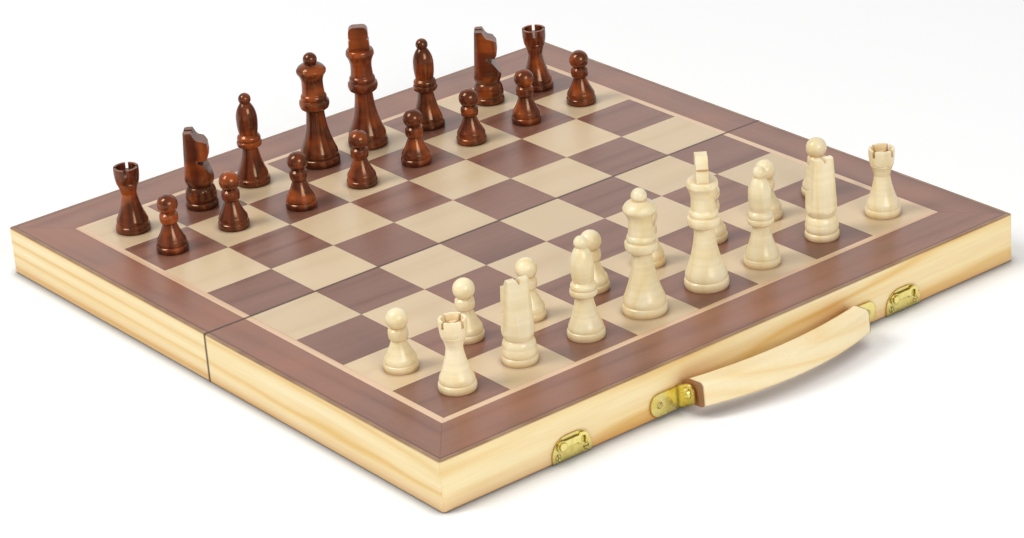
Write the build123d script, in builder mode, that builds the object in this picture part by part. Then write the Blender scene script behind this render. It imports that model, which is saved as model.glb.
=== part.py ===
from build123d import *
import os
from math import cos, hypot, radians, sin

# Folding wooden chess box, opened flat as a board, with its 32 turned chessmen standing on it.
# Two shallow trays, rims down, are hinged together along the fold. Closed, the rear tray swings
# under the front one until the rims meet, and two hook clasps hold them shut. All sizes are in mm.
# X runs along the fold, +Y goes from the front (handle) half to the rear half, +Z is up.
# The origin is the middle of the fold in the plane of the rims.

# ---- Playing surface ----------------------------------------------------------------------------
SQUARE = 40.0          # side of one playing square
SQUARES = 8            # squares along each side of the board
STRINGING = 3.8        # pale line between the squares and the dark border
SIDE_BORDER = 22.2     # dark veneer to the left and right of the squares
END_BORDER = 27.4      # dark veneer at the front and rear
LIP = 2.2              # edge of the wall that shows round the veneer
VENEER_JOINT = 0.04    # knife line between neighbouring pieces of veneer

# ---- Trays --------------------------------------------------------------------------------------
TRAY_HEIGHT = 26.8     # rim to playing surface
WALL = 9.0             # thickness of the rails
PANEL = 4.0            # plywood under the veneer
VENEER = 0.6
EDGE_ROUND = 0.9       # rounded outer edges of the rails, above and below
CORNER_ROUND = 1.6     # rounded upright corners of the box
FOLD_GAP = 0.3         # between the two hinge rails when the board lies open

# ---- Butt hinges --------------------------------------------------------------------------------
HINGE_AT = (-118.0, 118.0)
HINGE_LENGTH = 30.0
KNUCKLES = 5
KNUCKLE_GAP = 0.2
LEAF_DEPTH = 7.5
LEAF_SCREW_AT = 4.4    # edge at the fold to the screws
LEAF = 0.8             # sheet thickness
LEAF_SUNK = 0.1        # how far the leaf lies under the rim, so that closed leaves do not touch
BARREL_RADIUS = 1.3
KNUCKLE_ROOT = 0.8     # how near to the pin the sheet of a leaf runs into its barrels
PIN_RADIUS = 0.55
PIN_CLEARANCE = 0.05
BARREL_ROOM = 0.3      # air round a barrel in the wood and in the opposite leaf

# ---- Brass screws -------------------------------------------------------------------------------
SCREW_RADIUS = 0.9
SCREW_HEAD_RADIUS = 1.8
SCREW_HEAD_DEPTH = 0.8
SCREW_LENGTH = 6.0
SCREW_CLEARANCE = 0.03
SLOT = 0.5             # width of the driver slot
SLOT_DEPTH = 0.35
SLOT_STEP = 73.0       # degrees from the slot of one screw to that of the next
HINGE_SCREW_PITCH = 18.0

# ---- Clasps -------------------------------------------------------------------------------------
CLASP_AT = (-112.0, 107.0)
CLASP_WIDTH = 24.0
CLASP_HEIGHT = 12.6
CLASP_CORNER = 9.5     # rounded upper corners of the plate
CLASP_RIM_GAP = 0.3    # plate edge to rim
CLASP_SHEET = 0.8
CLASP_PIN_PITCH = 17.0
CLASP_PIN_HEIGHT = 3.2
HOOK_PIVOT_SHIFT = 6.2 # pivot to the left of the plate's middle
HOOK_PIVOT_HEIGHT = 8.4
HOOK_REACH = 12.6      # pivot to post
HOOK_SHEET = 1.0
HOOK_GAP = 0.1         # between the hook and what is over and under it
HOOK_ARM = 3.6
HOOK_ARM_RISE = 0.6    # middle of the arm over the line from pivot to post
HOOK_BOSS_RADIUS = 2.9
HOOK_TIP_RADIUS = 3.3
RIVET_RADIUS = 1.2
RIVET_HEAD_RADIUS = 2.2
RIVET_HEAD = 0.7
RIVET_HEAD_TAPER = 20.0
RIVET_CLEARANCE = 0.05
POST_CLEARANCE = 0.3   # between the post and the hook's slot

# ---- Carrying handle ----------------------------------------------------------------------------
HANDLE_AT = 12.0       # middle of the handle along the front wall
HANDLE_HALF = 58.0     # middle of the handle to the outer face of an ear
BRACKET = 1.2          # sheet thickness of the brackets
BRACKET_LEAF = 17.0
BRACKET_LEAF_ROUND = 5.4
BRACKET_LOW = 1.2
BRACKET_HIGH = 13.2
BRACKET_SCREW_AT = 11.6
EAR_REACH = 12.8       # wall to the outer end of an ear
EAR_RISE = 5.8         # how much the ear climbs on its way out
EAR_CORNER = 4.0
PIVOT_OUT = 8.0        # wall to the pivot screws
PIVOT_HEIGHT = 12.0
PIVOT_RADIUS = 1.3
PIVOT_CLEARANCE = 0.06
PIVOT_HEAD_RADIUS = 3.0
PIVOT_HEAD = 1.5
PIVOT_HEAD_TAPER = 28.0
PIVOT_DEPTH = 13.0     # length of screw in the grip
GRIP_END_GAP = 1.2     # grip end to ear
GRIP_THICKNESS = 13.0
GRIP_ROUND = 2.2
GRIP_TILT = 4.0        # degrees above level at rest
GRIP_END_OUT = 9.0     # outer edge at the ends, measured from the pivot axis
GRIP_MID_OUT = 18.5
GRIP_END_IN = -2.5     # inner edge at the ends
GRIP_MID_IN = 4.0

# ---- Chessmen -----------------------------------------------------------------------------------
# The men stand where a hand put them: how far right of and behind the middle of the square, file a
# to file h.
WHITE_BACK_ROW_OFF = ((4, 0), (3, 1), (3, -1), (1, -1), (2, -1), (-1, -2), (2, -1), (4, -3))
WHITE_PAWNS_OFF = ((-2, -3), (1, 0), (-3, -4), (0, -2), (-1, 0), (1, -1), (0, -1), (-1, 1))
DARK_PAWNS_OFF = ((-2, 0), (-2, 1), (-1, -4), (0, -4), (-1, -2), (-1, -1), (-1, -1), (-1, -2))
DARK_BACK_ROW_OFF = ((-2, -1), (2, -2), (0, 4), (2, -1), (-3, 1), (-3, -3), (4, 0), (-3, -4))
WHITE_ROOK_TURN = 8.0
DARK_ROOK_TURN = -37.0
WHITE_KNIGHT_TURN = 75.0
DARK_KNIGHT_TURN = -40.0
WHITE_CROSS_TURN = 53.0
DARK_CROSS_TURN = -37.0
CROSS_THICKNESS = 6.2
CROSS_LOW_WIDTH = 12.0
CROSS_TOP_WIDTH = 10.6
CROSS_ROUND = 3.0
CROSS_NOTCH = 1.5
ROOK_SLOT = 1.6
ROOK_SLOT_DEPTH = 3.6
SAW_REACH = 20.0       # how far a saw cut runs out from the axis of a man

# ---- Worked out from the values above -----------------------------------------------------------
FRONT = -1
REAR = 1
FIELD = SQUARES * SQUARE / 2
FIELD_AND_LINE = FIELD + STRINGING
PANEL_HALF_WIDTH = FIELD_AND_LINE + SIDE_BORDER
PANEL_END = FIELD_AND_LINE + END_BORDER
HALF_WIDTH = PANEL_HALF_WIDTH + LIP
HALF_LENGTH = PANEL_END + LIP
FOLD_EDGE = FOLD_GAP / 2
VENEER_LOW = TRAY_HEIGHT - VENEER
PANEL_LOW = VENEER_LOW - PANEL
LEAF_TOP = LEAF_SUNK + LEAF
BORE_RADIUS = PIN_RADIUS + PIN_CLEARANCE
KNUCKLE_PITCH = HINGE_LENGTH / KNUCKLES
HOOK_LOW = CLASP_SHEET + HOOK_GAP
RIVET_HEAD_LOW = HOOK_LOW + HOOK_SHEET + HOOK_GAP
POST_HEIGHT = HOOK_REACH - HOOK_PIVOT_HEIGHT
EAR_INSIDE = HANDLE_HALF - BRACKET
GRIP_HALF = EAR_INSIDE - GRIP_END_GAP
OVERCUT = 1.0          # how far a cutter runs past the face it cuts
ON_BASE = (Align.CENTER, Align.CENTER, Align.MIN)

os.makedirs("parts", exist_ok=True)


def save(piece, name):
    """Labels a finished piece and writes it as its own STEP file."""
    piece.part.label = name
    export_step(piece.part, f"parts/{name}.step")


def wall_plane(side, x, z):
    """The outer face of the front or rear wall, seen from outside, with its local origin at x, z."""
    return Plane(origin=(x, side * HALF_LENGTH, z), x_dir=(-side, 0, 0), z_dir=(0, side, 0))


def screw(plane, room=0.0, mode=Mode.ADD):
    """Adds a countersunk screw, its head flush with the plane and its shank behind it."""
    with Locations(plane.offset(-SCREW_HEAD_DEPTH)):
        Cone(SCREW_RADIUS + room, SCREW_HEAD_RADIUS + room, SCREW_HEAD_DEPTH, align=ON_BASE, mode=mode)
    with Locations(plane.offset(-SCREW_LENGTH - room)):
        Cylinder(SCREW_RADIUS + room, SCREW_LENGTH - SCREW_HEAD_DEPTH + room, align=ON_BASE, mode=mode)


def screw_hole(plane):
    """Cuts the countersink and the pilot hole of that screw."""
    screw(plane, SCREW_CLEARANCE, Mode.SUBTRACT)


def driver_slot(plane, turn):
    """Cuts the driver slot across a screw head whose top lies in the plane, turned by that angle."""
    with Locations(plane * Rotation(0, 0, turn)):
        Box(4 * PIVOT_HEAD_RADIUS, SLOT, 2 * SLOT_DEPTH, mode=Mode.SUBTRACT)


# ---- Where the screws go ------------------------------------------------------------------------
def hinge_screw_planes(side):
    """Planes on the sunk hinge leaves, facing down, one for each screw of that half."""
    screw_line = side * (FOLD_EDGE + LEAF_SCREW_AT)
    return [
        Plane(origin=(x + step * HINGE_SCREW_PITCH / 2, screw_line, LEAF_SUNK), z_dir=(0, 0, -1))
        for x in HINGE_AT
        for step in (-1, 1)
    ]


def clasp_pin_planes(side):
    """Planes on the clasp plates or catch plates, one for each fixing pin."""
    return [
        wall_plane(side, x + step * CLASP_PIN_PITCH / 2, CLASP_PIN_HEIGHT).offset(CLASP_SHEET)
        for x in CLASP_AT
        for step in (-1, 1)
    ]


def bracket_screw_planes():
    """Planes on the two bracket leaves of the handle."""
    height = (BRACKET_LOW + BRACKET_HIGH) / 2
    return [
        wall_plane(FRONT, HANDLE_AT + step * (HANDLE_HALF + BRACKET_SCREW_AT), height).offset(BRACKET)
        for step in (-1, 1)
    ]


# ---- Rails --------------------------------------------------------------------------------------
def rail(corners, side, outward=None, screws=()):
    """One mitred rail of a tray, with the rebate that the panel lies in."""
    with BuildPart() as piece:
        with BuildSketch():
            Polygon(*[(x, side * y) for x, y in corners], align=None)
            RectangleRounded(2 * HALF_WIDTH, 2 * HALF_LENGTH, CORNER_ROUND, mode=Mode.INTERSECT)
        extrude(amount=TRAY_HEIGHT)
        if outward:
            for edges in (piece.edges().group_by(Axis.Z)[0], piece.edges().group_by(Axis.Z)[-1]):
                fillet(edges.sort_by(Axis((0, 0, 0), outward))[-1], radius=EDGE_ROUND)
        with BuildSketch(Plane.XY.offset(PANEL_LOW)):
            with Locations((0, side * (PANEL_END - OVERCUT) / 2)):
                Rectangle(2 * PANEL_HALF_WIDTH, PANEL_END + OVERCUT)
        extrude(amount=PANEL + VENEER + OVERCUT, mode=Mode.SUBTRACT)
        for plane in screws:
            screw_hole(plane)
    return piece


def outer_rail(side):
    """The long rail opposite the fold, which carries the clasps and, at the front, the handle."""
    inner_width = HALF_WIDTH - WALL
    inner_length = HALF_LENGTH - WALL
    corners = [
        (-HALF_WIDTH, HALF_LENGTH),
        (HALF_WIDTH, HALF_LENGTH),
        (inner_width, inner_length),
        (-inner_width, inner_length),
    ]
    screws = clasp_pin_planes(side)
    if side == FRONT:
        screws += bracket_screw_planes()
    return rail(corners, side, (0, side, 0), screws)


def side_rail(side, end):
    """A left (end -1) or right (end 1) rail, from the outer rail to the hinge rail."""
    inner_width = HALF_WIDTH - WALL
    corners = [
        (end * HALF_WIDTH, HALF_LENGTH),
        (end * inner_width, HALF_LENGTH - WALL),
        (end * inner_width, FOLD_EDGE + WALL),
        (end * HALF_WIDTH, FOLD_EDGE),
    ]
    return rail(corners, side, (end, 0, 0))


def hinge_rail(side):
    """The rail along the fold, let in for the hinge leaves and grooved for their barrels."""
    inner_width = HALF_WIDTH - WALL
    corners = [
        (-HALF_WIDTH, FOLD_EDGE),
        (HALF_WIDTH, FOLD_EDGE),
        (inner_width, FOLD_EDGE + WALL),
        (-inner_width, FOLD_EDGE + WALL),
    ]
    base = rail(corners, side)
    with BuildPart() as piece:
        add(base.part)
        for x in HINGE_AT:
            with BuildSketch():
                with Locations((x, side * (FOLD_EDGE + LEAF_DEPTH) / 2)):
                    Rectangle(HINGE_LENGTH, FOLD_EDGE + LEAF_DEPTH)
            extrude(amount=LEAF_TOP, mode=Mode.SUBTRACT)
            start = x - HINGE_LENGTH / 2 - BARREL_ROOM
            with BuildSketch(Plane.YZ.offset(start)):
                Circle(BARREL_RADIUS + BARREL_ROOM)
            extrude(amount=HINGE_LENGTH + 2 * BARREL_ROOM, mode=Mode.SUBTRACT)
        for plane in hinge_screw_planes(side):
            screw_hole(plane)
    return piece


# ---- Panels and veneers -------------------------------------------------------------------------
def panel(side):
    """The plywood panel of one half."""
    with BuildPart() as piece:
        with BuildSketch(Plane.XY.offset(PANEL_LOW)):
            with Locations((0, side * (PANEL_END + FOLD_EDGE) / 2)):
                Rectangle(2 * PANEL_HALF_WIDTH, PANEL_END - FOLD_EDGE)
        extrude(amount=PANEL)
    return piece


def lay_veneer(corners, side):
    """Adds one piece of veneer to the open part, drawn in by half a joint all round."""
    with BuildSketch(Plane.XY.offset(VENEER_LOW)) as sheet:
        Polygon(*[(x, side * y) for x, y in corners], align=None)
        offset(amount=-VENEER_JOINT / 2, kind=Kind.INTERSECTION)
    extrude(sheet.sketch, amount=VENEER)


def lay_frame(outer_width, outer_end, inner_width, inner_end, side):
    """Adds three mitred strips, left, right and end, of a frame that is open at the fold."""
    for end in (-1, 1):
        strip = [
            (end * outer_width, FOLD_EDGE),
            (end * inner_width, FOLD_EDGE),
            (end * inner_width, inner_end),
            (end * outer_width, outer_end),
        ]
        lay_veneer(strip, side)
    across = [
        (-outer_width, outer_end),
        (-inner_width, inner_end),
        (inner_width, inner_end),
        (outer_width, outer_end),
    ]
    lay_veneer(across, side)


def lay_squares(side, dark):
    """Adds the dark or the light squares of one half. The near left square of the board is dark."""
    rows = SQUARES // 2
    for row in range(rows):
        rank = rows + row if side == REAR else rows - 1 - row
        near = max(row * SQUARE, FOLD_EDGE)
        far = (row + 1) * SQUARE
        for file in range(SQUARES):
            if ((file + rank) % 2 == 0) == dark:
                left = file * SQUARE - FIELD
                right = left + SQUARE
                lay_veneer([(left, near), (right, near), (right, far), (left, far)], side)


def border_veneer(side):
    """The dark border of one half."""
    with BuildPart() as piece:
        lay_frame(PANEL_HALF_WIDTH, PANEL_END, FIELD_AND_LINE, FIELD_AND_LINE, side)
    return piece


def light_veneer(side):
    """The light squares of one half and the pale line round them."""
    with BuildPart() as piece:
        lay_frame(FIELD_AND_LINE, FIELD_AND_LINE, FIELD, FIELD, side)
        lay_squares(side, dark=False)
    return piece


def dark_veneer(side):
    """The dark squares of one half."""
    with BuildPart() as piece:
        lay_squares(side, dark=True)
    return piece


# ---- Hinges -------------------------------------------------------------------------------------
def hinge_leaves(side):
    """The leaves of both hinges on one half. The front ones carry the odd knuckles."""
    with BuildPart() as piece:
        for x in HINGE_AT:
            start = x - HINGE_LENGTH / 2
            leaf_start = BARREL_RADIUS + BARREL_ROOM
            leaf_width = FOLD_EDGE + LEAF_DEPTH - leaf_start
            with BuildSketch(Plane.XY.offset(LEAF_SUNK)):
                with Locations((x, side * (leaf_start + leaf_width / 2))):
                    Rectangle(HINGE_LENGTH, leaf_width)
            extrude(amount=LEAF)
            for knuckle in range(KNUCKLES):
                own_side = FRONT if knuckle % 2 == 0 else REAR
                if own_side != side:
                    continue
                knuckle_start = start + knuckle * KNUCKLE_PITCH + KNUCKLE_GAP / 2
                knuckle_length = KNUCKLE_PITCH - KNUCKLE_GAP
                knuckle_middle = knuckle_start + knuckle_length / 2
                with BuildSketch(Plane.XY.offset(LEAF_SUNK)):
                    with Locations((knuckle_middle, side * (KNUCKLE_ROOT + leaf_start) / 2)):
                        Rectangle(knuckle_length, leaf_start - KNUCKLE_ROOT)
                extrude(amount=LEAF)
                with BuildSketch(Plane.YZ.offset(knuckle_start)):
                    Circle(BARREL_RADIUS)
                extrude(amount=knuckle_length)
            with BuildSketch(Plane.YZ.offset(start)):
                Circle(BORE_RADIUS)
            extrude(amount=HINGE_LENGTH, mode=Mode.SUBTRACT)
        for plane in hinge_screw_planes(side):
            screw_hole(plane)
    return piece


def hinge_pins():
    """The pins of both hinges."""
    with BuildPart() as piece:
        for x in HINGE_AT:
            with BuildSketch(Plane.YZ.offset(x - HINGE_LENGTH / 2 + KNUCKLE_GAP / 2)):
                Circle(PIN_RADIUS)
            extrude(amount=HINGE_LENGTH - KNUCKLE_GAP)
    return piece


# ---- Clasps -------------------------------------------------------------------------------------
def clasp_outline():
    """Draws the arched outline of a clasp or catch plate, its straight edge just above the rim."""
    with BuildSketch(mode=Mode.PRIVATE) as outline:
        with Locations((0, CLASP_RIM_GAP + CLASP_HEIGHT / 2)):
            Rectangle(CLASP_WIDTH, CLASP_HEIGHT)
        fillet(outline.vertices().group_by(Axis.Y)[-1], radius=CLASP_CORNER)
    return outline.sketch


def studded_plates(side, stud_shift, stud_height):
    """A plate on the outer rail for each clasp, with a headed stud standing on it."""
    with BuildPart() as piece:
        for x in CLASP_AT:
            with BuildSketch(wall_plane(side, x, 0)):
                add(clasp_outline())
            extrude(amount=CLASP_SHEET)
            stud = wall_plane(side, x + stud_shift, stud_height)
            with BuildSketch(stud.offset(CLASP_SHEET)):
                Circle(RIVET_RADIUS)
            extrude(amount=RIVET_HEAD_LOW - CLASP_SHEET)
            with BuildSketch(stud.offset(RIVET_HEAD_LOW)):
                Circle(RIVET_HEAD_RADIUS)
            extrude(amount=RIVET_HEAD, taper=RIVET_HEAD_TAPER)
        for plane in clasp_pin_planes(side):
            screw_hole(plane)
    return piece


def clasp_hook(x):
    """A hook, swung up beside its pivot. Its slot opens downwards and follows the swing."""
    slot_half = RIVET_RADIUS + POST_CLEARANCE
    face = wall_plane(FRONT, x - HOOK_PIVOT_SHIFT, HOOK_PIVOT_HEIGHT).offset(HOOK_LOW)
    with BuildPart() as piece:
        with BuildSketch(face) as shape:
            Circle(HOOK_BOSS_RADIUS)
            with Locations((HOOK_REACH / 2, HOOK_ARM_RISE)):
                Rectangle(HOOK_REACH, HOOK_ARM)
            with Locations((HOOK_REACH, 0)):
                Circle(HOOK_TIP_RADIUS)
            with BuildSketch(mode=Mode.PRIVATE) as slot:
                Circle(HOOK_REACH + slot_half)
                Circle(HOOK_REACH - slot_half, mode=Mode.SUBTRACT)
                with Locations((HOOK_REACH, -HOOK_TIP_RADIUS)):
                    Rectangle(4 * slot_half, 2 * HOOK_TIP_RADIUS, mode=Mode.INTERSECT)
            add(slot.sketch, mode=Mode.SUBTRACT)
            with Locations((HOOK_REACH, 0)):
                Circle(slot_half, mode=Mode.SUBTRACT)
            Circle(RIVET_RADIUS + RIVET_CLEARANCE, mode=Mode.SUBTRACT)
        extrude(amount=HOOK_SHEET)
    return piece


# ---- Carrying handle ----------------------------------------------------------------------------
def handle_brackets():
    """Two angle brackets: a leaf on the wall and an ear that stands out to hold the pivot."""
    with BuildPart() as piece:
        for end in (-1, 1):
            leaf_height = BRACKET_HIGH - BRACKET_LOW
            middle = (BRACKET_HIGH + BRACKET_LOW) / 2
            outer_x = HANDLE_AT + end * HANDLE_HALF
            with BuildSketch(wall_plane(FRONT, outer_x, middle)) as leaf:
                with Locations((end * (BRACKET_LEAF - BRACKET) / 2, 0)):
                    Rectangle(BRACKET_LEAF + BRACKET, leaf_height)
                far_end = leaf.vertices().sort_by(Axis((0, 0, 0), (end, 0, 0)))[-2:]
                fillet(far_end, radius=BRACKET_LEAF_ROUND)
            extrude(amount=BRACKET)
            ear_plane = Plane(origin=(outer_x, -HALF_LENGTH, 0), x_dir=(0, -1, 0), z_dir=(-1, 0, 0))
            with BuildSketch(ear_plane) as ear:
                Polygon(
                    (0, BRACKET_LOW),
                    (EAR_REACH, BRACKET_LOW + EAR_RISE),
                    (EAR_REACH, BRACKET_HIGH + EAR_RISE),
                    (0, BRACKET_HIGH),
                    align=None,
                )
                fillet(ear.vertices().sort_by(Axis.X)[-2:], radius=EAR_CORNER)
                with Locations((PIVOT_OUT, PIVOT_HEIGHT)):
                    Circle(PIVOT_RADIUS + PIVOT_CLEARANCE, mode=Mode.SUBTRACT)
            extrude(amount=end * BRACKET)
        for plane in bracket_screw_planes():
            screw_hole(plane)
    return piece


def grip_plane():
    """The middle plane of the grip: local X along the pivots, local Y outwards."""
    tilt = radians(GRIP_TILT)
    return Plane(
        origin=(HANDLE_AT, -HALF_LENGTH - PIVOT_OUT, PIVOT_HEIGHT),
        x_dir=(1, 0, 0),
        z_dir=(0, -sin(tilt), -cos(tilt)),
    )


def carry_handle():
    """The bowed wooden grip, drilled at both ends for the pivot screws."""
    with BuildPart() as piece:
        with BuildSketch(grip_plane()):
            with BuildLine():
                ThreePointArc((-GRIP_HALF, GRIP_END_OUT), (0, GRIP_MID_OUT), (GRIP_HALF, GRIP_END_OUT))
                Line((GRIP_HALF, GRIP_END_OUT), (GRIP_HALF, GRIP_END_IN))
                ThreePointArc((GRIP_HALF, GRIP_END_IN), (0, GRIP_MID_IN), (-GRIP_HALF, GRIP_END_IN))
                Line((-GRIP_HALF, GRIP_END_IN), (-GRIP_HALF, GRIP_END_OUT))
            make_face()
        extrude(amount=GRIP_THICKNESS / 2, both=True)
        fillet(piece.edges().filter_by(GeomType.CIRCLE), radius=GRIP_ROUND)
        for end in (-1, 1):
            hole_plane = Plane(
                origin=(HANDLE_AT + end * GRIP_HALF, -HALF_LENGTH - PIVOT_OUT, PIVOT_HEIGHT),
                z_dir=(end, 0, 0),
            )
            with BuildSketch(hole_plane):
                Circle(PIVOT_RADIUS + PIVOT_CLEARANCE)
            extrude(amount=-(PIVOT_DEPTH + PIVOT_CLEARANCE), mode=Mode.SUBTRACT)
    return piece


def handle_pivot_screws():
    """A dome-headed screw through each ear into the end of the grip."""
    with BuildPart() as piece:
        for end in (-1, 1):
            head_plane = Plane(
                origin=(HANDLE_AT + end * (HANDLE_HALF + HOOK_GAP), -HALF_LENGTH - PIVOT_OUT, PIVOT_HEIGHT),
                z_dir=(end, 0, 0),
            )
            with BuildSketch(head_plane):
                Circle(PIVOT_HEAD_RADIUS)
            extrude(amount=PIVOT_HEAD, taper=PIVOT_HEAD_TAPER)
            driver_slot(head_plane.offset(PIVOT_HEAD), SLOT_STEP)
            with BuildSketch(head_plane):
                Circle(PIVOT_RADIUS)
            extrude(amount=-(HANDLE_HALF + HOOK_GAP - GRIP_HALF + PIVOT_DEPTH))
    return piece


def screws(planes):
    """A group of equal countersunk screws, each turned in by another amount."""
    with BuildPart() as piece:
        for number, plane in enumerate(planes):
            screw(plane)
            driver_slot(plane, number * SLOT_STEP)
    return piece


# ---- Chessmen -----------------------------------------------------------------------------------
def cap(neck, rise):
    """Bulge of the round knob that starts at radius neck and closes on the axis, rise higher up."""
    radius = (neck**2 + rise**2) / (2 * rise)
    return radius * (1 - neck / hypot(neck, rise))


# Each profile lists radius, height and bulge: how far the curve that leads there from the last
# point stands out from a straight line. A negative bulge is hollow.
PAWN = [
    (8.4, 0.0, 0),
    (8.5, 3.2, 0.2),
    (8.0, 3.7, 0),
    (7.7, 6.6, 0.2),
    (3.7, 15.4, -0.35),
    (4.7, 16.4, 0.1),
    (4.8, 20.8, 0.25),
    (3.6, 22.0, 0),
    (0.0, 31.8, cap(3.6, 9.8)),
]
ROOK = [
    (9.3, 0.0, 0),
    (9.2, 3.4, 0.25),
    (8.6, 3.9, 0),
    (8.4, 6.8, 0.2),
    (4.2, 21.4, -0.6),
    (6.1, 27.6, -0.3),
    (5.9, 28.1, 0),
    (6.3, 28.5, 0),
    (6.8, 36.6, 0.25),
    (5.4, 36.6, 0),
    (4.8, 33.4, 0),
    (0.0, 33.4, 0),
]
BISHOP = [
    (9.4, 0.0, 0),
    (9.3, 3.4, 0.25),
    (8.7, 3.9, 0),
    (8.3, 6.8, 0.2),
    (4.4, 20.9, -0.5),
    (6.6, 22.4, 0),
    (6.8, 25.2, 0.3),
    (6.3, 25.5, 0),
    (6.2, 28.0, 0.3),
    (5.1, 29.2, 0),
    (5.9, 37.8, 0.25),
    (2.7, 47.3, 0.9),
    (0.0, 53.0, cap(2.7, 5.7)),
]
FOOT_AND_COLLAR = [
    (11.2, 0.0, 0),
    (11.1, 4.0, 0.3),
    (10.5, 4.6, 0),
    (10.3, 8.4, 0.3),
    (5.1, 31.6, -1.1),
    (7.8, 33.4, 0.1),
    (8.3, 37.6, 0.4),
    (7.1, 38.4, 0),
    (7.0, 41.0, 0.3),
    (6.4, 41.8, 0),
]
QUEEN = FOOT_AND_COLLAR + [
    (6.0, 49.0, -0.1),
    (8.2, 54.2, -0.4),
    (8.3, 56.0, 0.15),
    (7.4, 57.4, 0),
    (3.4, 59.8, 0.3),
    (0.0, 65.8, cap(3.4, 6.0)),
]
KING = FOOT_AND_COLLAR + [
    (6.0, 48.0, -0.1),
    (7.9, 54.0, -0.35),
    (7.9, 55.6, 0.15),
    (7.2, 57.4, 0.2),
    (0.0, 58.2, 0),
]
CROSS_FOOT = 57.0      # the cross is let into the crown by a little
CROSS_TOP = 71.0
KNIGHT = [
    (8.8, 0.0, 0),
    (8.8, 3.2, 0.25),
    (8.3, 3.7, 0),
    (8.4, 8.4, 0.4),
    (6.9, 12.4, 0.4),
    (8.2, 16.6, 0.2),
    (7.0, 44.4, 0),
    (0.0, 44.4, 0),
]
# The sawn head of the knight is what these two outlines share: one from the side, with the face to
# the right, and one from the front.
KNIGHT_HEAD_LOW = 13.4
KNIGHT_SIDE = [
    (-8.2, KNIGHT_HEAD_LOW),
    (-7.3, 20.0),
    (-5.6, 45.0),
    (-1.6, 45.0),
    (0.4, 41.2),
    (1.6, 40.0),
    (4.4, 39.2),
    (6.6, 37.2),
    (6.9, 32.8),
    (6.3, 29.2),
    (5.2, 28.1),
    (0.2, 28.2),
    (0.6, 27.0),
    (3.6, 25.6),
    (5.8, 22.0),
    (8.2, 17.2),
    (8.2, KNIGHT_HEAD_LOW),
]
KNIGHT_FRONT = [
    (-8.2, KNIGHT_HEAD_LOW),
    (-7.0, 20.0),
    (-5.4, 45.0),
    (-1.5, 45.0),
    (0.0, 42.4),
    (1.5, 45.0),
    (5.4, 45.0),
    (7.0, 20.0),
    (8.2, KNIGHT_HEAD_LOW),
]


def standing_plane(x, y, turn=0.0):
    """An upright plane through the axis of a man at x, y. Its local X points along turn, in degrees."""
    heading = radians(turn)
    return Plane(
        origin=(x, y, TRAY_HEIGHT),
        x_dir=(cos(heading), sin(heading), 0),
        z_dir=(sin(heading), -cos(heading), 0),
    )


def turned(profile, x, y):
    """A man turned to a profile on the lathe."""
    with BuildPart() as piece:
        with BuildSketch(standing_plane(x, y)):
            with BuildLine():
                last = (0, 0)
                for radius, height, bulge in profile:
                    if bulge:
                        SagittaArc(last, (radius, height), -bulge)
                    else:
                        Line(last, (radius, height))
                    last = (radius, height)
                Line(last, (0, 0))
            make_face()
        revolve(axis=Axis((x, y, 0), (0, 0, 1)))
    return piece


def pawn(x, y, turn):
    """A pawn."""
    return turned(PAWN, x, y)


def bishop(x, y, turn):
    """A bishop."""
    return turned(BISHOP, x, y)


def queen(x, y, turn):
    """A queen."""
    return turned(QUEEN, x, y)


def rook(x, y, turn):
    """A rook, with two saw cuts across its hollow head."""
    head_top = max(height for radius, height, bulge in ROOK)
    with BuildPart() as piece:
        add(turned(ROOK, x, y).part)
        for across in (0, 90):
            with BuildSketch(standing_plane(x, y, turn + across)):
                with Locations((0, head_top - ROOK_SLOT_DEPTH / 2 + OVERCUT / 2)):
                    Rectangle(ROOK_SLOT, ROOK_SLOT_DEPTH + OVERCUT)
            extrude(amount=SAW_REACH, both=True, mode=Mode.SUBTRACT)
    return piece


def king(x, y, turn):
    """A king: a turned body with a sawn cross on its crown."""
    middle = (CROSS_FOOT + CROSS_TOP) / 2
    with BuildPart() as piece:
        add(turned(KING, x, y).part)
        with BuildSketch(standing_plane(x, y, turn)) as cross:
            Polygon(
                (-CROSS_LOW_WIDTH / 2, CROSS_FOOT),
                (CROSS_LOW_WIDTH / 2, CROSS_FOOT),
                (CROSS_TOP_WIDTH / 2, CROSS_TOP),
                (-CROSS_TOP_WIDTH / 2, CROSS_TOP),
                align=None,
            )
            fillet(cross.vertices().group_by(Axis.Y)[-1], radius=CROSS_ROUND)
            for end in (-1, 1):
                Polygon(
                    (end * CROSS_LOW_WIDTH, middle - CROSS_LOW_WIDTH / 2),
                    (end * CROSS_LOW_WIDTH, middle + CROSS_LOW_WIDTH / 2),
                    (end * (CROSS_LOW_WIDTH / 2 - CROSS_NOTCH), middle),
                    align=None,
                    mode=Mode.SUBTRACT,
                )
        extrude(amount=CROSS_THICKNESS / 2, both=True)
    return piece


def knight(x, y, turn):
    """A knight: a turned blank sawn to a horse's head, flat at the back, with notched ears."""
    head_top = KNIGHT[-1][1]
    with BuildPart() as piece:
        add(turned(KNIGHT, x, y).part)
        for outline, across in ((KNIGHT_SIDE, 0), (KNIGHT_FRONT, 90)):
            with BuildSketch(standing_plane(x, y, turn + across)):
                with Locations((0, (KNIGHT_HEAD_LOW + head_top + OVERCUT) / 2)):
                    Rectangle(2 * SAW_REACH, head_top + OVERCUT - KNIGHT_HEAD_LOW)
                Polygon(*outline, align=None, mode=Mode.SUBTRACT)
            extrude(amount=SAW_REACH, both=True, mode=Mode.SUBTRACT)
    return piece


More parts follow.
